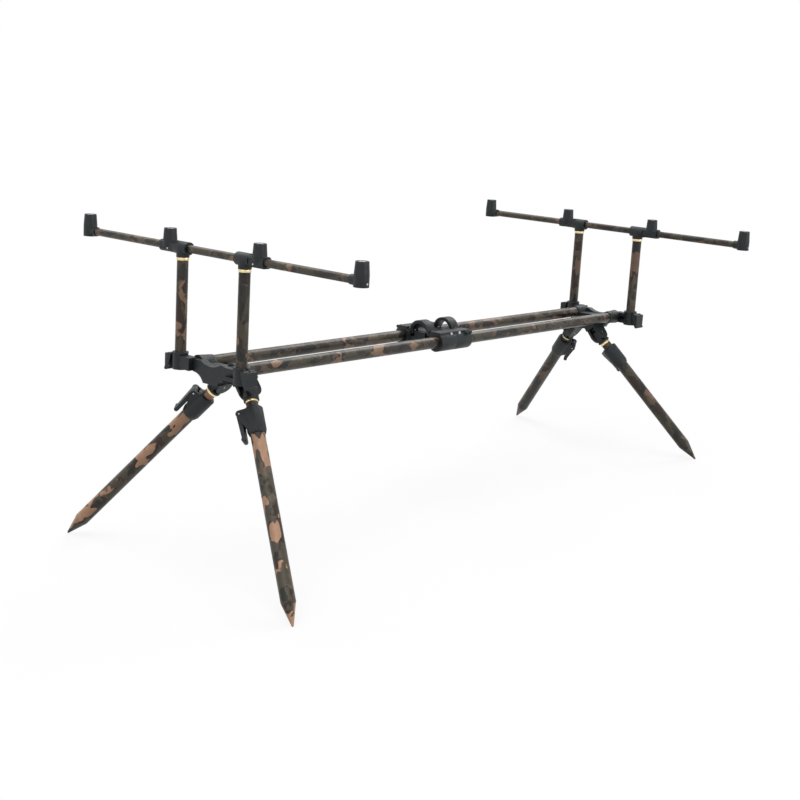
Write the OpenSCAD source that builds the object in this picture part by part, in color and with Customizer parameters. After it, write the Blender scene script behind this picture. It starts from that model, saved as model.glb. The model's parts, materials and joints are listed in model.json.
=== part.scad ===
// Rod pod for four rods: twin main bars in two sliding halves, a frame of two uprights
// and a buzz bar at each end, and four telescopic spike legs that fold along the bars.
// Front is the -X end, on the longer legs. Left is +Y, as seen from the front end.
// Everything is drawn with the main bars level along X at height 0, then the whole pod
// is tilted and lifted so that its four spikes stand on the ground.

/* [Main bars] */
// Outer diameter of the main bar tubes
bar_d = 18; // [17:0.5:19]
// Wall of the main bar tubes
bar_wall = 1.6; // [1.2:0.1:2]
// Distance between the main bars, centre to centre
bar_pitch = 71; // [69:0.5:74]
// Distance between the front and back uprights
upright_span = 946; // [940:2:1100]
// Length of an inner bar that stays inside each main bar
bar_grip = 60; // [40:5:70]
// Gap between an inner bar and the end plate it points at, with the pod closed
bar_spare = 18; // [10:1:60]

/* [Centre lock] */
// Place of the parting face along the bars
lock_x = -3; // [-20:1:10]
// Length of each half of the lock
lock_len = 37; // [36:1:42]
// Wall of the collars round the bars
lock_wall = 6; // [5.5:0.5:7]
// Height of the collars' flat tops above the bars
deck_top = 16; // [15:0.5:18]
// Width of the collars' flat tops
deck_w = 18; // [16:1:20]
// Thickness of a lever's arch
arch_t = 5; // [4:0.5:6]
// Width of a lever's arch
arch_w = 18; // [14:1:22]
// Distance of a lever's pins from the parting face
arch_pin_x = 29; // [27:0.5:29.5]
// Height of a lever's pins above the bars
arch_pin_z = 10.5; // [10:0.5:12]

/* [Heads] */
// Thickness of the front plate
plate_t = 12; // [10:0.5:14]
// Height of the plate's ends above the bars
plate_top = 7.5; // [6.5:0.5:9]
// Depth of the plate below the bars
plate_drop = 23; // [21:0.5:25]
// Length of a bar's housing behind the plate
housing_len = 22; // [16:1:26]
// Wall of a bar's housing at the plate
housing_wall = 3; // [2.5:0.25:4]

/* [Upright frames] */
// Outer diameter of the uprights
upright_d = 16; // [15:0.5:17]
// Wall of the uprights
upright_wall = 1.5; // [1.2:0.1:2]
// Distance between the two uprights of a frame
upright_pitch = 127; // [124:1:135]
// Height of the buzz bar above the main bars
buzz_z = 158; // [130:1:200]
// Outer diameter of the buzz bar
buzz_d = 11; // [10:0.5:12]
// Wall of the buzz bar
buzz_wall = 1.2; // [1:0.1:1.6]
// Distance between the two outer alarm sockets
outer_pitch = 550; // [500:2:640]
// Distance between the two inner alarm sockets
inner_pitch = 183; // [182:1:220]
// Length of a tee's sleeve along the buzz bar
tee_len = 27; // [24:1:28]
// Height of an alarm socket's turret
turret_h = 16.6; // [15:0.2:20]
// Diameter at the foot of a turret
turret_foot_d = 20; // [18.5:0.5:21]
// Diameter at the top of a turret
turret_top_d = 17.4; // [16:0.2:18]
// Outer diameter of a threaded insert
insert_d = 11.6; // [11:0.2:13]
// Bore of a threaded insert, cut for a 3/8 inch 20 TPI thread
insert_bore = 8.3; // [8:0.1:8.6]
// Length of a threaded insert
insert_len = 12.6; // [10:0.2:14]

/* [Upright clamps] */
// Wall of a clamp round its upright
clamp_wall = 3; // [3:0.25:4]
// Height of a clamp above the main bars
clamp_top = 13; // [12.5:0.5:16]
// Depth of an upright's foot below the main bars
upright_foot = 8.5; // [8:0.5:10]
// Width of a clamp's split
split_w = 2; // [1:0.5:3]
// Radius of a clamp's ears
ear_r = 4; // [3.75:0.25:4.5]
// Length of a clamp lever below its bolt
clamp_lever_len = 19; // [15:0.5:20]

/* [Legs] */
// Outer diameter of the lower leg tubes
leg_d = 20.5; // [19.5:0.5:21.5]
// Wall of the lower leg tubes
leg_wall = 1.6; // [1.2:0.1:2]
// Length of a front leg from its hinge to its point
front_leg_len = 349; // [320:1:360]
// Length of a back leg from its hinge to its point
back_leg_len = 287; // [270:1:300]
// How far a front leg extends
front_leg_travel = 110; // [60:5:110]
// How far a back leg extends
back_leg_travel = 90; // [50:5:90]
// Length of an inner leg tube that stays inside the lower tube
leg_grip = 60; // [40:5:70]
// Angle of the legs outwards from the pod's sides
splay = 39.7; // [35:0.5:45]
// Angle of the legs towards the pod's ends
lean = 17.7; // [10:0.5:20]
// Distance of the leg hinges from the uprights, along the bars
hinge_inset = 47; // [45:0.5:50]
// Distance of the leg hinges from the middle of the pod
hinge_y = 30; // [29:0.5:32]
// Depth of the leg hinges below the main bars
hinge_drop = 31; // [30:0.5:34]
// Length of a spike's cone
spike_len = 34; // [28:1:40]
// Radius of a spike's point
tip_r = 1.5; // [1:0.1:2]
// Outer diameter of a leg lock
leg_lock_d = 27; // [26:0.5:28]
// Length of a leg lock
leg_lock_len = 41; // [38:1:48]
// Length of a leg lever beyond its pin
leg_lever_len = 38; // [36:1:48]
// How far the leg locks are turned about their legs, in degrees
leg_lock_turn = 50; // [0:1:60]

/* [Fits] */
// Radial clearance of a hinge pin
hinge_fit = 0.05; // [0.03:0.01:0.08]
// Radial clearance of a sliding tube
slide_fit = 0.1; // [0.05:0.01:0.1]
// Gap between faces that move past each other
face_gap = 0.3; // [0.2:0.05:0.4]

/* [Hidden] */
$fn = 64;
FRONT = -1;
BACK = 1;
LEFT = 1;
RIGHT = -1;
SIDES = [LEFT, RIGHT];
BLACK = "#24292a";
CAMO = "#5a5138";
GOLD = "#d9c48f";
STEEL = "#b9bcc0";
eps = 0.01;

head_x = upright_span / 2;
plate_in = head_x - plate_t;
housing_r = bar_d / 2 + housing_wall;
housing_cap = 4;
housing_taper = 1.8;
plate_y = bar_pitch / 2 + 0.5;
bar_bore = bar_d - 2 * bar_wall;
inner_bar_d = bar_bore - 2 * slide_fit;
inner_bar_wall = 1.5;
// How far the back half slides out
bar_travel = plate_in - abs(lock_x) - bar_grip - bar_spare;

lock_r = bar_d / 2 + lock_wall;
arch_r = bar_pitch / 2 - lock_r - 1;
arch_inner_r = arch_r - arch_t;
arch_pin_r = 2;
arch_boss_r = 6;
arch_flare = 9;
arch_ear_in = arch_r + face_gap;
arch_ear_out = arch_ear_in + 5;
tie_in = 2;
tie_low = 8;
tie_top = arch_pin_z + 0.5;
foot_room = arch_w / 2;
bolt_head_r = 2.6;
bolt_deep = 5;
lock_bolt_x = 10;
bolt_z = deck_top - bolt_head_r - 0.8;
bolt_out = bar_pitch / 2 + deck_w / 2;

clamp_r = upright_d / 2 + clamp_wall;
clamp_floor = 2.7;
lip_h = 3;
lip_r = clamp_r + 0.4;
lug_half_x = 8;
lug_t = 6;
lug_low = -9.4;
lug_high = 2.6;
ear_half_x = 6;
ear_z = 6.5;
bolt_y = clamp_r + 2.5;
bolt_r = 2.2;
hub_x = ear_half_x + face_gap;
hub_t = 4;
hub_cap = 1;
lever_in = bolt_y + ear_r + face_gap;
lever_t = 3.4;
lever_rise = 2.5;
lever_bead_r = 2.4;

base_r = buzz_d / 2 + 2.2;
socket_end = turret_foot_d / 2;
neck_len = 17;
neck_r = buzz_d / 2 + 1.2;
inner_base_half = (inner_pitch - upright_pitch - tee_len) / 2 - face_gap;
end_wall = 4;
bar_half = outer_pitch / 2 + socket_end - end_wall;
turret_z = buzz_z + base_r;
turret_top = turret_z + turret_h;
insert_top = turret_top - 0.4;
tee_r = buzz_d / 2 + 3.5;
tee_collar_r = upright_d / 2 + 1.2;
tee_drop = 12.7;
tee_collar_z = buzz_z - tee_drop;
ring_h = 4;
ring_r = upright_d / 2 + 0.8;
screw_r = 1.4;
screw_deep = 2;
screw_drop = 3;
screw_inboard = 4;

hinge_x = head_x - hinge_inset;
hinge_pin_r = 3;
tongue_half = 5;
tongue_r = 10;
cheek_t = 4.7;
cheek_in = tongue_half + face_gap;
cheek_out = cheek_in + cheek_t;
cheek_r = 13;
web_low = 13;
web_high = 26;
web_half = 16;
rivet_r = 1.6;
rivet_len = 1.2;
keel_half = 16;
keel_low = 22;
keel_high = 8;
knuckle_top = cheek_r + 2 * face_gap;
knuckle_end = 17;
knuckle_r = 11;
leg_bore = leg_d - 2 * leg_wall;
inner_leg_d = leg_bore - 2 * slide_fit;
inner_leg_wall = 1.5;
inner_leg_top = 14.4;
leg_ring_r = inner_leg_d / 2 + 0.6;
leg_ring_end = knuckle_end + 4;
leg_lock_top = 29;
leg_lock_end = leg_lock_top + leg_lock_len;
leg_tube_top = leg_lock_top + 6;
leg_lock_r = leg_lock_d / 2;
leg_pin_s = leg_lock_top + 7;
leg_lever_in = leg_lock_r + 2.5;
leg_lever_t = 5;
leg_pin_x = leg_lever_in + 2.5;
leg_pin_r = 2;
leg_cam_r = 5;
leg_lever_half = 7;
leg_ear_t = 3;
leg_ball_r = 3.2;
flank_short = 15;

// Which way a leg's lock is turned: the front left one outwards, the others inwards
function lock_turn(end, side) = end == FRONT && side == LEFT ? leg_lock_turn : -leg_lock_turn;

// Where the middle of a leg's point lies, from the length of that leg
function tip_x(len) = hinge_x + (len - tip_r) * sin(lean);
function tip_z(len) = -hinge_drop - (len - tip_r) * cos(lean) * cos(splay);
function leg_len(end) = end == FRONT ? front_leg_len : back_leg_len;
function leg_travel(end) = end == FRONT ? front_leg_travel : back_leg_travel;

// The tilt and lift that put all four points on the ground, with the origin below the middle
tilt = atan2(tip_z(back_leg_len) - tip_z(front_leg_len), tip_x(back_leg_len) + tip_x(front_leg_len));
front_tip_x = -tip_x(front_leg_len) * cos(tilt) + tip_z(front_leg_len) * sin(tilt);
back_tip_x = tip_x(back_leg_len) * cos(tilt) + tip_z(back_leg_len) * sin(tilt);
stand_x = -(front_tip_x + back_tip_x) / 2;
stand_z = tip_r - tip_x(front_leg_len) * sin(tilt) - tip_z(front_leg_len) * cos(tilt);

// Places: the standing pod, one of its ends, one of its sides

module stand() {
    translate([stand_x, 0, stand_z]) rotate([0, tilt, 0]) children();
}

module at_end(end) {
    if (end == FRONT) mirror([1, 0, 0]) children();
    else children();
}

module at_side(side) {
    if (side == RIGHT) mirror([0, 1, 0]) children();
    else children();
}

// An upright's axis, with X towards the pod's end and Y towards its side
module at_upright(end, side) {
    stand() at_end(end) at_side(side) translate([head_x, upright_pitch / 2, 0]) children();
}

// A leg fork: Y is the hinge axis and Z points back up into the head
module at_fork(end, side) {
    at_end(end) at_side(side)
        translate([hinge_x, hinge_y, -hinge_drop]) rotate([splay, 0, 0]) children();
}

// A leg: it runs down -Z from its hinge, with X on the lever's side
module at_leg(end, side) {
    stand() at_fork(end, side) rotate([0, -lean, 0]) children();
}

// A leg's lock, turned about the leg
module at_leg_lock(end, side) {
    at_leg(end, side) rotate([0, 0, lock_turn(end, side)]) children();
}

// One half of the centre lock, turned about the middle for the front half
module at_lock(end) {
    stand() translate([lock_x, 0, 0]) rotate([0, 0, end == BACK ? 0 : 180]) children();
}

// Shapes that repeat

module rod_x(r, from, to) {
    translate([from, 0, 0]) rotate([0, 90, 0]) cylinder(r = r, h = to - from);
}

module rod_y(r, from, to) {
    translate([0, from, 0]) rotate([-90, 0, 0]) cylinder(r = r, h = to - from);
}

module rod_z(r, from, to) {
    translate([0, 0, from]) cylinder(r = r, h = to - from);
}

module block(from, to) {
    translate(from) cube(to - from);
}

// A flat shape drawn in X and Z, as thick as the width given, centred on Y
module slab_y(width) {
    rotate([90, 0, 0]) linear_extrude(height = width, center = true) children();
}

// Heads

module plate_outline() {
    cove_r = 22;
    cove_y = plate_y - 1.5;
    dip_r = 40;
    corner = 3;
    difference() {
        polygon([
            [-plate_y, corner - plate_drop], [corner - plate_y, -plate_drop],
            [plate_y - corner, -plate_drop], [plate_y, corner - plate_drop],
            [plate_y, plate_top - corner], [plate_y - corner, plate_top],
            [corner - plate_y, plate_top], [-plate_y, plate_top - corner]
        ]);
        for (side = SIDES) translate([side * cove_y, 1 - plate_drop / 2 - cove_r]) circle(cove_r);
        translate([0, 2 + dip_r]) circle(dip_r);
    }
}

module fork() {
    block([-web_half, -cheek_out, web_low], [web_half, cheek_out, web_high]);
    for (side = SIDES) translate([0, side * (cheek_in + cheek_out) / 2, 0]) slab_y(cheek_t) {
        circle(cheek_r);
        translate([-cheek_r, 0]) square([2 * cheek_r, web_low + eps]);
    }
}

// A bar's housing, a little wider at the plate
module housing() {
    translate([plate_in - housing_len, 0, 0]) rotate([0, 90, 0])
        cylinder(r1 = housing_r - housing_taper, r2 = housing_r, h = housing_len + housing_cap);
}

module head(end) {
    bridge_y = bar_pitch / 2 - housing_wall;
    color(BLACK) stand() difference() {
        at_end(end) {
            translate([plate_in, 0, 0]) rotate([90, 0, 90]) linear_extrude(height = plate_t) plate_outline();
            for (side = SIDES) translate([0, side * bar_pitch / 2, 0])
                housing();
            block([plate_in - housing_len, -bridge_y, -12], [plate_in + eps, bridge_y, 1]);
            block([hinge_x - web_half, -keel_half, -keel_low], [plate_in + eps, keel_half, -keel_high]);
            for (side = SIDES) at_fork(BACK, side) fork();
        }
        at_end(end) for (side = SIDES) {
            translate([0, side * bar_pitch / 2, 0]) rod_x(bar_d / 2, 0, plate_in);
            at_fork(BACK, side) hinge_pin();
            at_fork(BACK, side)
                block([-web_half - 1, -cheek_in, -cheek_r - 1], [web_half + 1, cheek_in, web_low]);
        }
    }
}

// A hinge pin with small rivet ends that show on the cheeks
module hinge_pin() {
    rod_y(hinge_pin_r, rivet_len - cheek_out, cheek_out - rivet_len);
    rod_y(rivet_r, -cheek_out, cheek_out);
}

// Upright clamps and their levers

// A flat shape drawn in Y and Z, from one X to another
module slab_x(from, to) {
    translate([from, 0, 0]) rotate([90, 0, 90]) linear_extrude(height = to - from) children();
}

// A clamp: two lugs hold it to the plate, with a web between them on the side given
module clamp_body(web) {
    plate_gap = upright_pitch / 2 - plate_y;
    difference() {
        union() {
            rod_z(clamp_r, -upright_foot - face_gap - clamp_floor, clamp_top);
            rod_z(lip_r, clamp_top - lip_h, clamp_top);
            slab_x(-ear_half_x, ear_half_x) {
                translate([bolt_y, ear_z]) circle(ear_r);
                translate([0, ear_z - ear_r]) square([bolt_y, 2 * ear_r]);
            }
            for (low = [lug_low, lug_high])
                block([-lug_half_x, -plate_gap, low], [lug_half_x, 0, low + lug_t]);
            block([min(0, web * lug_half_x), -plate_gap, lug_low],
                [max(0, web * lug_half_x), 0, lug_high + lug_t]);
        }
        rod_z(upright_d / 2 + slide_fit / 2, -upright_foot - face_gap, clamp_top + 1);
        rod_z(upright_d / 4, -upright_foot - 2 * clamp_floor, 0);
        block([-split_w / 2, 0, -upright_foot], [split_w / 2, lever_in, clamp_top + 1]);
        translate([0, bolt_y, ear_z]) rod_x(bolt_r, -ear_half_x - 1, ear_half_x + 1);
    }
}

module clamps(end) {
    color(BLACK) for (side = SIDES) at_upright(end, side) clamp_body(-end * side);
}

// The bolt of a clamp lever, whose ends lie in the lever's two cheeks
module draw_bolt() {
    bolt_half = hub_x + hub_t - hub_cap;
    translate([0, bolt_y, ear_z]) rod_x(bolt_r, -bolt_half, bolt_half);
}

// A clamp lever hangs down the outside of its clamp, with a cheek each side of the ears, and swings up
// about the bolt
module clamp_lever(end, side) {
    tip = ear_z - clamp_lever_len;
    cheek_foot = tip + 2 * lever_bead_r;
    bolt_room = hub_x + hub_t - hub_cap + face_gap;
    color(BLACK) at_upright(end, side) difference() {
        union() {
            for (from = [-hub_x - hub_t, hub_x]) slab_x(from, from + hub_t) {
                translate([bolt_y, ear_z]) circle(ear_r);
                polygon([
                    [bolt_y, ear_z + lever_rise], [lever_in + eps, ear_z + lever_rise], [lever_in + eps, tip],
                    [bolt_y, cheek_foot], [bolt_y - ear_r, ear_z]
                ]);
            }
            slab_x(-hub_x - hub_t, hub_x + hub_t) {
                translate([lever_in, tip]) square([lever_t, clamp_lever_len + lever_rise]);
                translate([lever_in + lever_bead_r, tip]) circle(lever_bead_r);
            }
        }
        translate([0, bolt_y, ear_z]) rod_x(bolt_r + hinge_fit, -bolt_room, bolt_room);
    }
}

// Main bars and the centre lock

module tube_x(d, wall, from, to) {
    difference() {
        rod_x(d / 2, from, to);
        rod_x(d / 2 - wall, from - 1, to + 1);
    }
}

module main_bar(end, side) {
    color(CAMO) stand() translate([0, side * bar_pitch / 2, 0])
        if (end == FRONT) tube_x(bar_d, bar_wall, -plate_in, lock_x - face_gap / 2);
        else tube_x(bar_d, bar_wall, lock_x + face_gap / 2, plate_in);
}

// The inner bar is held in the bar of its own end and slides in the other one
module inner_bar(end, side) {
    color(CAMO) at_lock(end) translate([0, bar_pitch / 2 * side * end, 0])
        tube_x(inner_bar_d, inner_bar_wall, -bar_travel - bar_grip, bar_grip);
}

// A bright bolt in the side of each collar, near the parting face
module lock_bolts() {
    for (side = SIDES) at_side(side) translate([lock_bolt_x, 0, bolt_z])
        rod_y(bolt_head_r, bolt_out - bolt_deep, bolt_out + 1.2);
}

module lock_half(end) {
    ear_t = arch_ear_out - arch_ear_in;
    foot_in = arch_inner_r - 3.4;
    color(BLACK) at_lock(end) difference() {
        union() {
            for (side = SIDES) translate([0, side * bar_pitch / 2, 0]) {
                rod_x(lock_r, face_gap / 2, lock_len);
                block([face_gap / 2, -deck_w / 2, 0], [lock_len, deck_w / 2, deck_top]);
            }
            block([tie_in, -bar_pitch / 2, -tie_low], [lock_len - tie_in, bar_pitch / 2, tie_top]);
            for (side = SIDES) translate([arch_pin_x, side * (arch_ear_in + ear_t / 2), 0]) slab_y(ear_t) {
                translate([0, arch_pin_z]) circle(arch_boss_r);
                translate([-arch_boss_r, 0]) square([2 * arch_boss_r, arch_pin_z]);
            }
            for (from_end = [4, 12]) translate([lock_len - from_end, 0, bolt_z])
                rod_y(bolt_head_r, -bolt_out - 5.5, 1 - bolt_out);
        }
        for (side = SIDES) {
            translate([0, side * bar_pitch / 2, 0]) rod_x(bar_d / 2, -1, lock_len + 1);
            at_side(side) block([arch_pin_x - arch_boss_r - 2 * face_gap, foot_in, arch_pin_z - foot_room],
                [lock_len + 1, arch_ear_in, deck_top + 1]);
        }
        translate([arch_pin_x, 0, arch_pin_z]) rod_y(arch_pin_r, -arch_ear_out, arch_ear_out);
        lock_bolts();
    }
}

module lock_pins(end) {
    at_lock(end) for (side = SIDES) at_side(side) translate([arch_pin_x, 0, arch_pin_z])
        rod_y(arch_pin_r, arch_inner_r, arch_ear_out);
    at_lock(end) lock_bolts();
}

// An arched lever that stands across the lock, with room for fingers under the arch
module lock_lever(end) {
    color(BLACK) at_lock(end) translate([arch_pin_x, 0, arch_pin_z]) difference() {
        intersection() {
            rotate([90, 0, 90]) linear_extrude(height = arch_w, center = true) difference() {
                union() {
                    circle(arch_r);
                    translate([-arch_r, -arch_boss_r]) square([2 * arch_r, arch_boss_r]);
                }
                circle(arch_inner_r);
                translate([-arch_inner_r, -2 * arch_r]) square([2 * arch_inner_r, 2 * arch_r]);
                translate([-2 * arch_r, -2 * arch_r - arch_boss_r]) square([4 * arch_r, 2 * arch_r]);
            }
            slab_y(3 * arch_r) {
                circle(arch_boss_r);
                polygon([
                    [-arch_boss_r, 0], [arch_boss_r, 0], [arch_w / 2, arch_flare], [arch_w / 2, 2 * arch_r],
                    [-arch_w / 2, 2 * arch_r], [-arch_w / 2, arch_flare]
                ]);
            }
        }
        rod_y(arch_pin_r + hinge_fit, -2 * arch_r, 2 * arch_r);
    }
}

module pins(end) {
    color(STEEL) {
        for (side = SIDES) stand() at_fork(end, side) hinge_pin();
        for (side = SIDES) at_upright(end, side) draw_bolt();
        lock_pins(end);
    }
}

// Upright frames

module upright(end, side) {
    color(CAMO) at_upright(end, side) difference() {
        rod_z(upright_d / 2, -upright_foot, buzz_z - tee_r);
        rod_z(upright_d / 2 - upright_wall, -upright_foot - 1, buzz_z);
    }
}

module rings(end) {
    color(GOLD) for (side = SIDES) at_upright(end, side) difference() {
        rod_z(ring_r, tee_collar_z - ring_h, tee_collar_z);
        rod_z(upright_d / 2, 0, buzz_z);
    }
}

module tees(end) {
    color(BLACK) for (side = SIDES) at_upright(end, side) difference() {
        union() {
            rod_z(tee_collar_r, tee_collar_z, buzz_z);
            translate([0, 0, buzz_z]) rod_y(tee_r, -tee_len / 2, tee_len / 2);
        }
        rod_z(upright_d / 2, 0, buzz_z - tee_r);
        translate([0, 0, buzz_z]) rod_y(buzz_d / 2, -tee_len, tee_len);
    }
}

module buzz_bar(end) {
    color(CAMO) stand() at_end(end) translate([head_x, 0, buzz_z]) difference() {
        rod_y(buzz_d / 2, -bar_half, bar_half);
        rod_y(buzz_d / 2 - buzz_wall, -bar_half - 1, bar_half + 1);
    }
}

module at_socket(end, side, pitch) {
    stand() at_end(end) at_side(side) translate([head_x, pitch / 2, 0]) children();
}

module turret(foot) {
    rod_z(turret_foot_d / 2, foot, turret_z);
    translate([0, 0, turret_z]) cylinder(d1 = turret_foot_d, d2 = turret_top_d, h = turret_h);
}

// An inner socket's base along the buzz bar, a square bar with broad bevels
module socket_base() {
    flat = 5;
    translate([0, 0, buzz_z]) slab_y(2 * inner_base_half) polygon([
        [-base_r, -flat], [-flat, -base_r], [flat, -base_r], [base_r, -flat],
        [base_r, flat], [flat, base_r], [-flat, base_r], [-base_r, flat]
    ]);
}

// An outer socket's neck, which narrows along the buzz bar
module socket_neck() {
    translate([0, -neck_len, buzz_z]) rotate([-90, 0, 0]) cylinder(r1 = neck_r, r2 = base_r, h = neck_len);
}

module insert_hole() {
    rod_z(insert_d / 2, insert_top - insert_len, turret_top + 1);
}

module outer_screw(reach) {
    translate([0, 0, buzz_z - screw_drop])
        rod_y(screw_r, socket_end - screw_deep, socket_end + reach);
}

module inner_screw(reach) {
    translate([0, -screw_inboard, buzz_z - screw_drop]) rod_x(screw_r, buzz_d / 2 + 0.4, base_r + reach);
}

module sockets(end) {
    color(BLACK) for (side = SIDES) {
        at_socket(end, side, outer_pitch) difference() {
            union() {
                turret(buzz_z - base_r);
                socket_neck();
            }
            translate([0, 0, buzz_z]) rod_y(buzz_d / 2, -neck_len - 1, socket_end - end_wall);
            insert_hole();
            outer_screw(1);
        }
        at_socket(end, side, inner_pitch) difference() {
            union() {
                turret(buzz_z);
                socket_base();
            }
            translate([0, 0, buzz_z]) rod_y(buzz_d / 2, -inner_base_half - 1, inner_base_half + 1);
            insert_hole();
            inner_screw(3);
        }
    }
}

module inserts(end) {
    color(STEEL) for (side = SIDES, pitch = [outer_pitch, inner_pitch])
        at_socket(end, side, pitch) difference() {
            rod_z(insert_d / 2, insert_top - insert_len, insert_top);
            rod_z(insert_bore / 2, turret_top - 2 * insert_len, turret_top + 1);
        }
}

module screws(end) {
    color(STEEL) for (side = SIDES) {
        at_socket(end, side, outer_pitch) outer_screw(0.8);
        at_socket(end, side, inner_pitch) inner_screw(0.8);
    }
}

// Legs

module knuckle(end, side) {
    neck = knuckle_top + 2;
    color(BLACK) at_leg(end, side) difference() {
        union() {
            rod_y(tongue_r, -tongue_half, tongue_half);
            block([-tongue_r, -tongue_half, -neck], [tongue_r, tongue_half, 0]);
            rod_z(knuckle_r, -knuckle_end, -knuckle_top);
        }
        rod_y(hinge_pin_r + hinge_fit, -tongue_half - 1, tongue_half + 1);
        rod_z(inner_leg_d / 2, -knuckle_end - 1, -inner_leg_top);
    }
}

module leg_ring(end, side) {
    color(GOLD) at_leg(end, side) difference() {
        rod_z(leg_ring_r, -leg_ring_end, -knuckle_end);
        rod_z(inner_leg_d / 2, -leg_ring_end - 1, -knuckle_end + 1);
    }
}

module inner_leg(end, side) {
    foot = leg_lock_end + leg_travel(end) + leg_grip;
    color(CAMO) at_leg(end, side) difference() {
        rod_z(inner_leg_d / 2, -foot, -inner_leg_top);
        rod_z(inner_leg_d / 2 - inner_leg_wall, -foot - 1, -inner_leg_top + 1);
    }
}

// The lower tube and its spike, closed by the spike's own plug
module leg_tube(end, side) {
    len = leg_len(end);
    cone = len - spike_len;
    plug = 4;
    color(CAMO) at_leg(end, side) difference() {
        union() {
            rod_z(leg_d / 2, -cone, -leg_tube_top);
            translate([0, 0, tip_r - len]) cylinder(r1 = tip_r, r2 = leg_d / 2, h = spike_len - tip_r);
            translate([0, 0, tip_r - len]) sphere(tip_r);
        }
        rod_z(leg_bore / 2, plug - cone, 0);
    }
}

module leg_lock(end, side) {
    bevel = 2;
    taper = 6;
    flank_turn = 3;
    flank_len = leg_lock_len - flank_short;
    color(BLACK) at_leg_lock(end, side) difference() {
        union() {
            rotate_extrude() polygon([
                [0, -leg_lock_top], [leg_lock_r - bevel, -leg_lock_top],
                [leg_lock_r, -leg_lock_top - bevel], [leg_lock_r, taper - leg_lock_end],
                [leg_lock_r - bevel, -leg_lock_end], [0, -leg_lock_end]
            ]);
            for (s = SIDES) translate([0, s * (leg_lever_half + face_gap + leg_ear_t / 2), -leg_pin_s])
                slab_y(leg_ear_t) {
                    translate([leg_pin_x, 0]) circle(leg_cam_r);
                    polygon([
                        [0, leg_cam_r], [leg_pin_x, leg_cam_r], [leg_pin_x + leg_cam_r - 1, -flank_turn],
                        [leg_lock_r - 2, -flank_len], [0, -flank_len]
                    ]);
                }
        }
        rod_z(leg_bore / 2, -leg_lock_end, -leg_lock_top + 1);
        rod_z(leg_d / 2, -leg_lock_end - 1, -leg_tube_top);
        translate([leg_pin_x, 0, -leg_pin_s]) rod_y(leg_pin_r + hinge_fit, -leg_lock_r, leg_lock_r);
        translate([leg_pin_x, 0, -leg_pin_s])
            rod_y(leg_cam_r + face_gap, -leg_lever_half - face_gap, leg_lever_half + face_gap);
    }
}

// A leg lever, moulded round its pin, that thins towards a round end off the tube
module leg_lever(end, side) {
    tail = -leg_pin_s - leg_lever_len;
    reach = leg_lever_half + face_gap + leg_ear_t;
    color(BLACK) at_leg_lock(end, side) {
        slab_y(2 * leg_lever_half) {
            translate([leg_pin_x, -leg_pin_s]) circle(leg_cam_r);
            polygon([
                [leg_lever_in, -leg_pin_s], [leg_pin_x + leg_cam_r, -leg_pin_s],
                [leg_lever_in + leg_lever_t, tail], [leg_lever_in, tail]
            ]);
            translate([leg_lever_in + leg_ball_r, tail]) circle(leg_ball_r);
        }
        translate([leg_pin_x, 0, -leg_pin_s]) rod_y(leg_pin_r, -reach, reach);
    }
}

head(FRONT);  // front_head
clamps(FRONT);  // front_clamps
main_bar(FRONT, LEFT);  // front_bar_left
main_bar(FRONT, RIGHT);  // front_bar_right
inner_bar(FRONT, LEFT);  // inner_bar_left
lock_half(FRONT);  // front_lock
pins(FRONT);  // front_pins
clamp_lever(FRONT, LEFT);  // front_clamp_lever_left
clamp_lever(FRONT, RIGHT);  // front_clamp_lever_right
lock_lever(FRONT);  // front_lock_lever
head(BACK);  // back_head
clamps(BACK);  // back_clamps
main_bar(BACK, LEFT);  // back_bar_left
main_bar(BACK, RIGHT);  // back_bar_right
inner_bar(BACK, RIGHT);  // inner_bar_right
lock_half(BACK);  // back_lock
pins(BACK);  // back_pins
clamp_lever(BACK, LEFT);  // back_clamp_lever_left
clamp_lever(BACK, RIGHT);  // back_clamp_lever_right
lock_lever(BACK);  // back_lock_lever
upright(FRONT, LEFT);  // front_upright_left
upright(FRONT, RIGHT);  // front_upright_right
rings(FRONT);  // front_rings
tees(FRONT);  // front_tees
buzz_bar(FRONT);  // front_buzz_bar
sockets(FRONT);  // front_sockets
inserts(FRONT);  // front_inserts
screws(FRONT);  // front_screws
upright(BACK, LEFT);  // back_upright_left
upright(BACK, RIGHT);  // back_upright_right
rings(BACK);  // back_rings
tees(BACK);  // back_tees
buzz_bar(BACK);  // back_buzz_bar
sockets(BACK);  // back_sockets
inserts(BACK);  // back_inserts
screws(BACK);  // back_screws
knuckle(FRONT, LEFT);  // front_left_knuckle
leg_ring(FRONT, LEFT);  // front_left_leg_ring
inner_leg(FRONT, LEFT);  // front_left_inner_leg
leg_tube(FRONT, LEFT);  // front_left_leg
leg_lock(FRONT, LEFT);  // front_left_leg_lock
leg_lever(FRONT, LEFT);  // front_left_leg_lever
knuckle(FRONT, RIGHT);  // front_right_knuckle
leg_ring(FRONT, RIGHT);  // front_right_leg_ring
inner_leg(FRONT, RIGHT);  // front_right_inner_leg
leg_tube(FRONT, RIGHT);  // front_right_leg
leg_lock(FRONT, RIGHT);  // front_right_leg_lock
leg_lever(FRONT, RIGHT);  // front_right_leg_lever
knuckle(BACK, LEFT);  // back_left_knuckle
leg_ring(BACK, LEFT);  // back_left_leg_ring
inner_leg(BACK, LEFT);  // back_left_inner_leg
leg_tube(BACK, LEFT);  // back_left_leg
leg_lock(BACK, LEFT);  // back_left_leg_lock
leg_lever(BACK, LEFT);  // back_left_leg_lever
knuckle(BACK, RIGHT);  // back_right_knuckle
leg_ring(BACK, RIGHT);  // back_right_leg_ring
inner_leg(BACK, RIGHT);  // back_right_inner_leg
leg_tube(BACK, RIGHT);  // back_right_leg
leg_lock(BACK, RIGHT);  // back_right_leg_lock
leg_lever(BACK, RIGHT);  // back_right_leg_lever
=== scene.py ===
import json
import math

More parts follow.
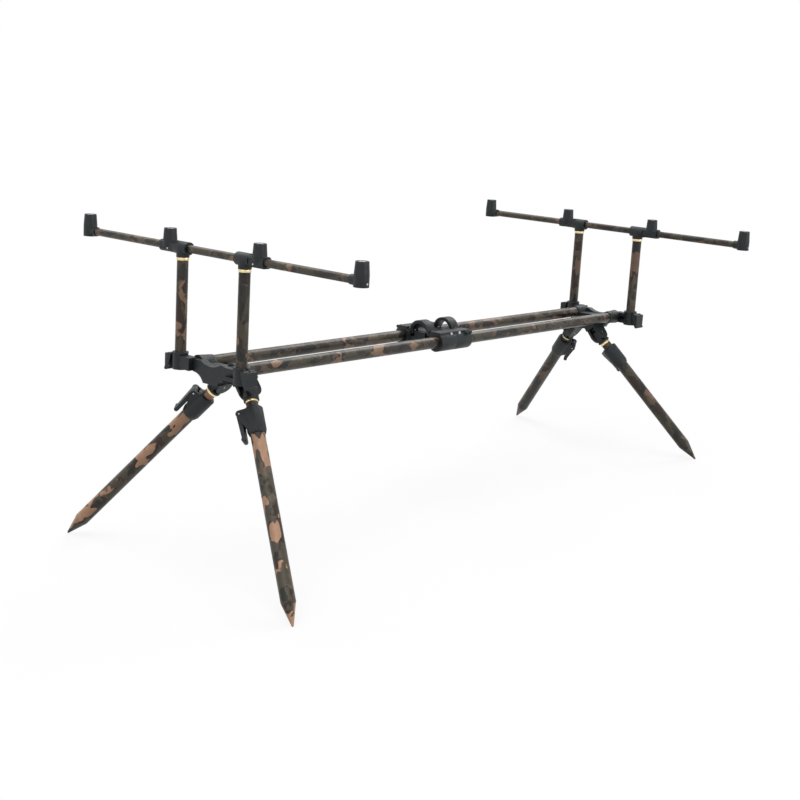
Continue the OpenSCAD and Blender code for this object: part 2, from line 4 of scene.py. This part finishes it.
import bmesh
import bpy
from mathutils import Matrix, Vector


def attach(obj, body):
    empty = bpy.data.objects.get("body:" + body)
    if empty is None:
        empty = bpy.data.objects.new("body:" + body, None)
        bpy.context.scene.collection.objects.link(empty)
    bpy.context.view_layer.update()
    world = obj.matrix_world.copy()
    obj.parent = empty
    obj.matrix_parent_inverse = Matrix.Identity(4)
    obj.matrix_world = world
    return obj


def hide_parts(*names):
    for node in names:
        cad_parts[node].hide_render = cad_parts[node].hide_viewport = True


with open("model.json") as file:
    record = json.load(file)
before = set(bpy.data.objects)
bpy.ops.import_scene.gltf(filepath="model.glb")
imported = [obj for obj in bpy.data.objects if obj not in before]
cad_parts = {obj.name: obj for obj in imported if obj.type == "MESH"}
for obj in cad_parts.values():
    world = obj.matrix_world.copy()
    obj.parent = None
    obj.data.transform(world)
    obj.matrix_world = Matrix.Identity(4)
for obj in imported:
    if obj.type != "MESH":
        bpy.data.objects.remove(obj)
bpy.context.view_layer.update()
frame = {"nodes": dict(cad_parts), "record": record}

nodes = frame["nodes"]
scene = bpy.context.scene

ENDS = (("front", -1), ("back", 1))
HANDS = (("left", 1), ("right", -1))

# The pod stands tilted: its own frame has level bars, and this takes a point of it to the row frame.
TILT = math.radians(2.4913925)
LIFT = Vector((0.02084799, 0.0, 0.26382904))
TURN = Matrix.Rotation(TILT, 3, "Y")


def stand(x, y, z):
    """A point of the level pod, in millimetres, in the row frame in metres."""
    return TURN @ (Vector((x, y, z)) / 1000.0) + LIFT


# Camera, in the level pod's frame

FOCAL_PX = 1430.716
IMAGE_PX = 800
SENSOR = 36.0
EYE = (-1740.9, -1463.6, 400.4)
AIM = Vector((0.733, 0.6443, -0.2182)).normalized()
ROLL = math.radians(3.39)
FARTHEST_SEEN = 500.0


def add_camera():
    level = AIM.cross(Vector((0, 0, 1))).normalized()
    raised = level.cross(AIM)
    right = math.cos(ROLL) * level + math.sin(ROLL) * raised
    up = -math.sin(ROLL) * level + math.cos(ROLL) * raised
    columns = [TURN @ right, TURN @ up, -(TURN @ AIM)]
    data = bpy.data.cameras.new("camera")
    data.sensor_width = SENSOR
    data.lens = FOCAL_PX * SENSOR / IMAGE_PX
    data.clip_end = FARTHEST_SEEN
    camera = bpy.data.objects.new("camera", data)
    scene.collection.objects.link(camera)
    turn = Matrix(columns).transposed().to_4x4()
    camera.matrix_world = Matrix.Translation(stand(*EYE)) @ turn
    scene.camera = camera


# Materials

# Noise stays mostly between these levels, so they are spread over a material's whole range
NOISE_LOW, NOISE_HIGH = 0.3, 0.7
FINE = 0.6


class Nodes:
    """A material's node tree, with short ways to add and join nodes."""

    def __init__(self, name):
        self.material = bpy.data.materials.new(name)
        self.material.use_nodes = True
        self.tree = self.material.node_tree
        self.tree.nodes.clear()
        self.output = self.add("ShaderNodeOutputMaterial")

    def add(self, kind, **settings):
        node = self.tree.nodes.new(kind)
        for key, value in settings.items():
            setattr(node, key, value)
        return node

    def put(self, socket, value):
        if isinstance(value, bpy.types.NodeSocket):
            self.tree.links.new(value, socket)
        else:
            socket.default_value = value

    def place(self, shift=(0, 0, 0), along=None, stretch=1.0):
        """The object's own coordinates, moved, and drawn out along a direction if one is given."""
        coords = self.add("ShaderNodeTexCoord")
        mapping = self.add("ShaderNodeMapping", vector_type="TEXTURE")
        self.put(mapping.inputs["Vector"], coords.outputs["Object"])
        mapping.inputs["Location"].default_value = shift
        if along is not None:
            mapping.inputs["Rotation"].default_value = along.to_track_quat("Z", "Y").to_euler()
            mapping.inputs["Scale"].default_value = (1.0, 1.0, stretch)
        return mapping.outputs["Vector"]

    def moved(self, vector, by):
        node = self.add("ShaderNodeVectorMath", operation="ADD")
        self.put(node.inputs[0], vector)
        self.put(node.inputs[1], by)
        return node.outputs["Vector"]

    def noise(self, vector, scale, detail=2.0, rough=0.5, distortion=0.0):
        node = self.add("ShaderNodeTexNoise")
        self.put(node.inputs["Vector"], vector)
        node.inputs["Scale"].default_value = scale
        node.inputs["Detail"].default_value = detail
        node.inputs["Roughness"].default_value = rough
        node.inputs["Distortion"].default_value = distortion
        return node.outputs["Fac"]

    def math(self, operation, a, b=0.0):
        node = self.add("ShaderNodeMath", operation=operation)
        self.put(node.inputs[0], a)
        self.put(node.inputs[1], b)
        return node.outputs["Value"]

    def remap(self, value, low, high, to_low=0.0, to_high=1.0):
        node = self.add("ShaderNodeMapRange")
        self.put(node.inputs["Value"], value)
        node.inputs["From Min"].default_value = low
        node.inputs["From Max"].default_value = high
        node.inputs["To Min"].default_value = to_low
        node.inputs["To Max"].default_value = to_high
        return node.outputs["Result"]

    def spread(self, value, to_low=0.0, to_high=1.0):
        """A noise, spread from one value to another."""
        return self.remap(value, NOISE_LOW, NOISE_HIGH, to_low, to_high)

    def mix(self, factor, a, b):
        node = self.add("ShaderNodeMix", data_type="RGBA")
        self.put(node.inputs[0], factor)
        self.put(node.inputs[6], a if isinstance(a, bpy.types.NodeSocket) else (*a, 1.0))
        self.put(node.inputs[7], b if isinstance(b, bpy.types.NodeSocket) else (*b, 1.0))
        return node.outputs[2]

    def multiply(self, a, b):
        node = self.add("ShaderNodeMix", data_type="RGBA", blend_type="MULTIPLY")
        node.inputs[0].default_value = 1.0
        self.put(node.inputs[6], a)
        self.put(node.inputs[7], b)
        return node.outputs[2]

    def bump(self, height, strength, distance, normal=None):
        node = self.add("ShaderNodeBump")
        node.inputs["Strength"].default_value = strength
        node.inputs["Distance"].default_value = distance
        self.put(node.inputs["Height"], height)
        if normal is not None:
            self.put(node.inputs["Normal"], normal)
        return node.outputs["Normal"]

    def surface(self, colour, roughness, normal, metallic=0.0, specular=0.5):
        shader = self.add("ShaderNodeBsdfPrincipled")
        self.put(shader.inputs["Base Color"], colour)
        self.put(shader.inputs["Roughness"], roughness)
        self.put(shader.inputs["Normal"], normal)
        shader.inputs["Metallic"].default_value = metallic
        shader.inputs["Specular IOR Level"].default_value = specular
        self.tree.links.new(shader.outputs[0], self.output.inputs["Surface"])
        return self.material


OLIVE = (0.071, 0.059, 0.038)
MOSS = (0.028, 0.0255, 0.0185)
BROWN = (0.030, 0.013, 0.007)
NIGHT = (0.008, 0.008, 0.007)
DUN = (0.125, 0.092, 0.060)
# One tan in three strengths by tube: lightest on the front legs, duller on the other front tubes, darkest
# on the back tubes
TAN = (0.50, 0.290, 0.178)
DULL_TAN = (0.30, 0.185, 0.120)
BACK_TAN = (0.20, 0.125, 0.087)

# A noise above its level is a patch: the higher the level, the sparser the patches
TAN_ON_LEGS, TAN_ON_BARS, TAN_ON_UPRIGHTS = 0.605, 0.64, 0.66
TAN_FIELD, TAN_SCALE = (1.7, 0.4, 2.2), 40.0
# The tan patches have a dark edge on one side: the same field, a little aside and a little larger
EDGE_FIELD, EDGE_WIDER = (1.7023, 0.4018, 2.2035), 0.008
# The other layers: where in the noise each is taken, its scale, its level and its colour
MOSS_LAYER = ((0.31, 0.17, 0.53), 44.0, 0.53)
UNDER_TAN = (((7.7, 3.9, 6.1), 60.0, 0.60, DUN),
             ((5.3, 1.1, 4.4), 52.0, 0.585, NIGHT),
             ((3.1, 2.6, 0.8), 66.0, 0.61, BROWN))
OVER_TAN = ((9.2, 4.1, 3.3), 58.0, 0.635)
PATCH_BLUR = 0.010
PATCH_STRETCH = 1.6
PATCH_DETAIL, PATCH_ROUGH, PATCH_DISTORTION = 0.8, 0.45, 0.35
WOBBLE_SCALE, WOBBLE_DETAIL, WOBBLE_BY = 85.0, 1.5, 0.016
SHADE_SCALE, SHADE_LOW, SHADE_HIGH = 140.0, 0.86, 1.12
SPECKLE_SCALE, PAINT_ROUGH_LOW, PAINT_ROUGH_HIGH = 900.0, 0.30, 0.42
PAINT_GRAIN, PAINT_BUMP, PAINT_DEPTH = 1400.0, 0.10, 0.0004
SATIN = 0.38


def camo_material(name, shift, along, tan, tan_level):
    """Satin paint in a plain woodland camouflage: patches with crisp edges, laid one over the other."""
    n = Nodes(name)
    at = n.place(shift, along, PATCH_STRETCH)
    wobble = n.add("ShaderNodeTexNoise")
    n.put(wobble.inputs["Vector"], at)
    wobble.inputs["Scale"].default_value = WOBBLE_SCALE
    wobble.inputs["Detail"].default_value = WOBBLE_DETAIL
    shifted = n.add("ShaderNodeVectorMath", operation="SCALE")
    n.put(shifted.inputs[0], wobble.outputs["Color"])
    shifted.inputs["Scale"].default_value = WOBBLE_BY
    warped = n.moved(at, shifted.outputs["Vector"])

    def patches(field, scale, level):
        noise = n.noise(n.moved(warped, field), scale, PATCH_DETAIL, PATCH_ROUGH, PATCH_DISTORTION)
        return n.remap(noise, level - PATCH_BLUR, level + PATCH_BLUR)

    colour = n.mix(patches(*MOSS_LAYER), OLIVE, MOSS)
    for field, scale, level, layer in UNDER_TAN:
        colour = n.mix(patches(field, scale, level), colour, layer)
    colour = n.mix(patches(EDGE_FIELD, TAN_SCALE, tan_level - EDGE_WIDER), colour, BROWN)
    colour = n.mix(patches(TAN_FIELD, TAN_SCALE, tan_level), colour, tan)
    colour = n.mix(patches(*OVER_TAN), colour, OLIVE)
    shade = n.spread(n.noise(at, SHADE_SCALE, 3.0, FINE), SHADE_LOW, SHADE_HIGH)
    speckle = n.noise(at, SPECKLE_SCALE, 3.0, FINE)
    roughness = n.spread(speckle, PAINT_ROUGH_LOW, PAINT_ROUGH_HIGH)
    grain = n.bump(n.noise(at, PAINT_GRAIN), PAINT_BUMP, PAINT_DEPTH)
    return n.surface(n.multiply(colour, shade), roughness, grain, specular=SATIN)


BLACK_DEEP, BLACK_WORN = (0.008, 0.0115, 0.0125), (0.014, 0.019, 0.0205)
BLACK_CLOUDS, BLACK_SHEEN = 90.0, 260.0
BLACK_ROUGH_LOW, BLACK_ROUGH_HIGH = 0.42, 0.56
BLACK_GRAIN, BLACK_BUMP, BLACK_DEPTH = 2600.0, 0.22, 0.0003
EDGE_SHADING_R, EDGE_SHADING_SAMPLES = 0.0008, 6


def black_material(name):
    """Satin black moulded plastic, faintly cool, with a fine spark-eroded grain."""
    n = Nodes(name)
    at = n.place()
    colour = n.mix(n.spread(n.noise(at, BLACK_CLOUDS, 4.0, FINE)), BLACK_DEEP, BLACK_WORN)
    sheen = n.noise(at, BLACK_SHEEN, 3.0, FINE)
    roughness = n.spread(sheen, BLACK_ROUGH_LOW, BLACK_ROUGH_HIGH)
    edges = n.add("ShaderNodeBevel", samples=EDGE_SHADING_SAMPLES)
    edges.inputs["Radius"].default_value = EDGE_SHADING_R
    height = n.noise(at, BLACK_GRAIN, 2.0, FINE)
    grain = n.bump(height, BLACK_BUMP, BLACK_DEPTH, edges.outputs["Normal"])
    return n.surface(colour, roughness, grain, specular=SATIN)


METAL_TARNISH, METAL_WEAR = 180.0, 700.0
METAL_MARKS, METAL_BUMP, METAL_DEPTH = 3000.0, 0.12, 0.0002


def metal_material(name, low, high, rough_low, rough_high):
    """Turned bright metal with fine tool marks and a little tarnish."""
    n = Nodes(name)
    at = n.place()
    colour = n.mix(n.spread(n.noise(at, METAL_TARNISH, 4.0, FINE)), low, high)
    roughness = n.spread(n.noise(at, METAL_WEAR, 3.0, FINE), rough_low, rough_high)
    marks = n.bump(n.noise(at, METAL_MARKS), METAL_BUMP, METAL_DEPTH)
    return n.surface(colour, roughness, marks, metallic=1.0)


# Finishes for the CAD nodes

LEG_SPLAY, LEG_LEAN = math.radians(39.7), math.radians(17.7)
LEG_TURN = Matrix.Rotation(LEG_SPLAY, 3, "X") @ Matrix.Rotation(-LEG_LEAN, 3, "Y")
# Each tube takes its camouflage from another place in the noise
PATTERN_STEP = (0.37, 0.11, 0.23)

black = black_material("black_fitting")
gold = metal_material("gold_ring", (0.72, 0.55, 0.27), (0.88, 0.74, 0.46), 0.22, 0.34)
steel = metal_material("bright_steel", (0.36, 0.37, 0.38), (0.52, 0.53, 0.54), 0.26, 0.40)
FINISHES = {"black_fitting": black, "gold_ring": gold, "bright_steel": steel}
slot_of = {part["node"]: part["material_slot"] for part in frame["record"]["subparts"]}


def tube_direction(name):
    """Which way a tube runs, in the row frame."""
    if "bar" in name:
        return TURN @ (Vector((0, 1, 0)) if "buzz" in name else Vector((1, 0, 0)))
    if "upright" in name:
        return TURN @ Vector((0, 0, 1))
    sign, side = (-1 if "front" in name else 1), (1 if "left" in name else -1)
    run = LEG_TURN @ Vector((0, 0, -1))
    return TURN @ Vector((sign * run.x, side * run.y, run.z))


def tan_on(name):
    """A tube's tan and its level: brightest on the front legs, darkest at the back."""
    if name.startswith("back"):
        return BACK_TAN, TAN_ON_BARS
    if name.endswith("_leg"):
        return TAN, TAN_ON_LEGS
    return DULL_TAN, TAN_ON_UPRIGHTS if "upright" in name else TAN_ON_BARS


def finish_of(count, name):
    if slot_of[name] in FINISHES:
        return FINISHES[slot_of[name]]
    shift = tuple(step * count for step in PATTERN_STEP)
    return camo_material("camo_" + name, shift, tube_direction(name), *tan_on(name))


for count, name in enumerate(sorted(nodes)):
    slots = nodes[name].data.materials
    material = finish_of(count, name)
    slots.clear()
    slots.append(material)


# Rounded edges on the moulded and turned parts

FITTING_EDGE, METAL_EDGE = 0.0009, 0.0004
EDGE_STEPS = 2
SAME_CORNER = 0.00001
SAME_FLAT = math.radians(0.6)
SHARP = math.radians(32)


def round_edges(name, width):
    """Bevels a node's sharp edges, after joining its split corners and flat triangles."""
    part = nodes[name]
    weld = part.modifiers.new("join_corners", "WELD")
    weld.merge_threshold = SAME_CORNER
    flatten = part.modifiers.new("join_flats", "DECIMATE")
    flatten.decimate_type = "DISSOLVE"
    flatten.angle_limit = SAME_FLAT
    bevel = part.modifiers.new("round_edges", "BEVEL")
    bevel.width = width
    bevel.segments = EDGE_STEPS
    bevel.limit_method = "ANGLE"
    bevel.angle_limit = SHARP
    bevel.use_clamp_overlap = True
    bevel.harden_normals = False


for name in sorted(nodes):
    if slot_of[name] == "black_fitting":
        round_edges(name, FITTING_EDGE)
    elif slot_of[name] == "gold_ring" or name.endswith(("pins", "screws")):
        round_edges(name, METAL_EDGE)


def add_steel_piece(form, name, body):
    """A bright steel piece of the scene's own, which moves with a body."""
    mesh = bpy.data.meshes.new(name)
    form.to_mesh(mesh)
    form.free()
    mesh.materials.append(steel)
    piece = bpy.data.objects.new(name, mesh)
    scene.collection.objects.link(piece)
    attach(piece, body)
    return piece


# Threaded inserts, in millimetres

SOCKET_X, SOCKET_YS = 473.0, (275.0, 91.5, -91.5, -275.0)
INSERT_LOW, INSERT_TOP = 169.3, 181.9
INSERT_R = 5.8
RIM_ROUND, RIM_SHOULDER = 0.35, 0.1
MOUTH_WIDER, MOUTH_DEPTH, THREAD_START = 0.28, 0.4, 0.45
THREAD_MINOR, THREAD_MAJOR, THREAD_PITCH = 4.17, 4.76, 1.27
RIDGE_STEEPNESS, RIDGE_FLAT = 1.25, 0.125
THREAD_SIDES = 48
ROWS_PER_TURN = 8


def clamp_unit(value):
    return min(1.0, max(0.0, value))


def thread_radius(z, angle):
    """A rounded V thread, fading out at the mouth."""
    phase = (z / THREAD_PITCH - angle / (2 * math.pi)) % 1.0
    ridge = clamp_unit(RIDGE_STEEPNESS * abs(2 * phase - 1) - RIDGE_FLAT)
    mouth = clamp_unit((INSERT_TOP - THREAD_START - z) / THREAD_PITCH)
    return THREAD_MAJOR - (THREAD_MAJOR - THREAD_MINOR) * mouth * ridge


def insert_rows():
    """The insert's section as heights and radii, row by row: outside, rim, thread (no radius), foot."""
    rows = [(INSERT_LOW, INSERT_R),
            (INSERT_TOP - RIM_ROUND, INSERT_R),
            (INSERT_TOP - RIM_SHOULDER, INSERT_R - RIM_SHOULDER),
            (INSERT_TOP, INSERT_R - RIM_ROUND),
            (INSERT_TOP, THREAD_MAJOR + MOUTH_WIDER)]
    z = INSERT_TOP - MOUTH_DEPTH
    while z > INSERT_LOW:
        rows.append((z, None))
        z -= THREAD_PITCH / ROWS_PER_TURN
    rows.append((INSERT_LOW, THREAD_MAJOR))
    return rows


def add_inserts(end, sign):
    form = bmesh.new()
    rows = insert_rows()
    for y in SOCKET_YS:
        rings = []
        for z, radius in rows:
            ring = []
            for k in range(THREAD_SIDES):
                angle = 2 * math.pi * k / THREAD_SIDES
                r = thread_radius(z, angle) if radius is None else radius
                at = stand(sign * SOCKET_X + r * math.cos(angle), y + r * math.sin(angle), z)
                ring.append(form.verts.new(at))
            rings.append(ring)
        for a, b in zip(rings, rings[1:] + rings[:1]):
            for k in range(THREAD_SIDES):
                j = (k + 1) % THREAD_SIDES
                form.faces.new((a[k], a[j], b[j], b[k]))
    bmesh.ops.recalc_face_normals(form, faces=form.faces)
    for face in form.faces:
        face.smooth = True
    piece = add_steel_piece(form, end + "_threaded_inserts", end + "_frame")
    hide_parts(end + "_inserts")


for end, sign in ENDS:
    add_inserts(end, sign)


# Small bright rivets on the pins of the leg levers, in millimetres

HINGE = Vector((426.0, 30.0, -31.0))
LOCK_TURN = math.radians(50.0)
LEVER_PIN = Vector((18.5, 10.3, -36.0))
RIVET_R, RIVET_H = 1.35, 0.45
RIVET_STEPS, RIVET_SIDES = 4, 24


def leg_point(sign, side, point):
    """A point of a leg's lock, from its hinge, in the row frame. The front left lock turns its own way."""
    turn = Matrix.Rotation(LOCK_TURN if (sign, side) == (-1, 1) else -LOCK_TURN, 3, "Z")
    place = HINGE + LEG_TURN @ turn @ point
    return stand(sign * place.x, side * place.y, place.z)


def add_rivets(end, sign, hand, side):
    """Two low domes, one at each end of a lever's pin."""
    form = bmesh.new()

    def corner(face, radius, height, angle):
        point = Vector((LEVER_PIN.x + radius * math.cos(angle),
                        face * (LEVER_PIN.y + height),
                        LEVER_PIN.z + radius * math.sin(angle)))
        return form.verts.new(leg_point(sign, side, point))

    for face in (1, -1):
        rings = []
        for k in range(RIVET_STEPS):
            lean = 0.5 * math.pi * k / RIVET_STEPS
            radius, height = RIVET_R * math.cos(lean), RIVET_H * math.sin(lean)
            rings.append([corner(face, radius, height, 2 * math.pi * j / RIVET_SIDES)
                          for j in range(RIVET_SIDES)])
        top = corner(face, 0.0, RIVET_H, 0.0)
        for a, b in zip(rings, rings[1:]):
            for j in range(RIVET_SIDES):
                i = (j + 1) % RIVET_SIDES
                form.faces.new((a[j], a[i], b[i], b[j]))
        for j in range(RIVET_SIDES):
            form.faces.new((rings[-1][j], rings[-1][(j + 1) % RIVET_SIDES], top))
        form.faces.new(rings[0])
    bmesh.ops.recalc_face_normals(form, faces=form.faces)
    for face in form.faces:
        face.smooth = len(face.verts) < 5
    corner_name = end + "_" + hand
    add_steel_piece(form, corner_name + "_lever_rivets", corner_name + "_leg_lever")


for end, sign in ENDS:
    for hand, side in HANDS:
        add_rivets(end, sign, hand, side)


# Stage

WHITE = (1.0, 1.0, 1.0, 1.0)
FLOOR_SIZE = 200.0
FLOOR_GLOW = 0.82
FLOOR_SHOWN, FLOOR_BOUNCE = 0.92, 0.20
SKY = 0.28
# Each lamp shines towards a direction, with a spread in degrees and a strength
LAMPS = (("overhead", (0.10, 0.0, -1.0), 40.0, 1.2),
         ("key", (-0.20, 0.97, -0.12), 30.0, 0.8),
         ("fill", (0.85, 0.15, -0.60), 60.0, 0.5),
         ("bar_rim", (-0.73, -0.13, -0.67), 32.0, 0.85),
         ("buzz_rim", (-0.18, -0.64, -0.74), 32.0, 0.6))


def add_floor():
    """A pale floor, which the camera and reflections see as nearly white, with the shadow on it."""
    n = Nodes("pale_floor")
    path = n.add("ShaderNodeLightPath")
    seen = n.math("MAXIMUM", path.outputs["Is Camera Ray"], path.outputs["Is Glossy Ray"])
    seen = n.math("MAXIMUM", seen, path.outputs["Is Transmission Ray"])
    ground = n.add("ShaderNodeBsdfDiffuse")
    n.put(ground.inputs["Color"], n.mix(seen, (FLOOR_BOUNCE,) * 3, (FLOOR_SHOWN,) * 3))
    white = n.add("ShaderNodeEmission")
    white.inputs["Color"].default_value = WHITE
    white.inputs["Strength"].default_value = 1.0
    shown = n.add("ShaderNodeMixShader")
    n.put(shown.inputs[0], n.math("MULTIPLY", seen, FLOOR_GLOW))
    n.tree.links.new(ground.outputs[0], shown.inputs[1])
    n.tree.links.new(white.outputs[0], shown.inputs[2])
    n.tree.links.new(shown.outputs[0], n.output.inputs["Surface"])
    bpy.ops.mesh.primitive_plane_add(size=FLOOR_SIZE, location=(0, 0, 0))
    floor = bpy.context.object
    floor.name = "floor"
    floor.data.materials.append(n.material)


def add_world():
    """Soft light from all round, and white wherever the camera or a reflection sees it."""
    world = bpy.data.worlds.new("studio")
    scene.world = world
    world.use_nodes = True
    tree = world.node_tree
    tree.nodes.clear()
    path = tree.nodes.new("ShaderNodeLightPath")
    seen = path.outputs["Is Camera Ray"]
    for kind in ("Is Glossy Ray", "Is Transmission Ray"):
        either = tree.nodes.new("ShaderNodeMath")
        either.operation = "MAXIMUM"
        tree.links.new(seen, either.inputs[0])
        tree.links.new(path.outputs[kind], either.inputs[1])
        seen = either.outputs[0]
    mix = tree.nodes.new("ShaderNodeMixShader")
    tree.links.new(seen, mix.inputs[0])
    for place, strength in ((1, SKY), (2, 1.0)):
        sky = tree.nodes.new("ShaderNodeBackground")
        sky.inputs["Color"].default_value = WHITE
        sky.inputs["Strength"].default_value = strength
        tree.links.new(sky.outputs[0], mix.inputs[place])
    out = tree.nodes.new("ShaderNodeOutputWorld")
    tree.links.new(mix.outputs[0], out.inputs["Surface"])


def add_sun(name, towards, spread, strength):
    """A broad soft light from far away, so that it is as strong all over the floor."""
    data = bpy.data.lights.new(name, "SUN")
    data.energy = strength
    data.angle = math.radians(spread)
    lamp = bpy.data.objects.new(name, data)
    scene.collection.objects.link(lamp)
    lamp.rotation_euler = Vector(towards).to_track_quat("-Z", "Y").to_euler()


add_floor()
add_world()
for lamp in LAMPS:
    add_sun(*lamp)
add_camera()
scene.view_settings.view_transform = "Standard"
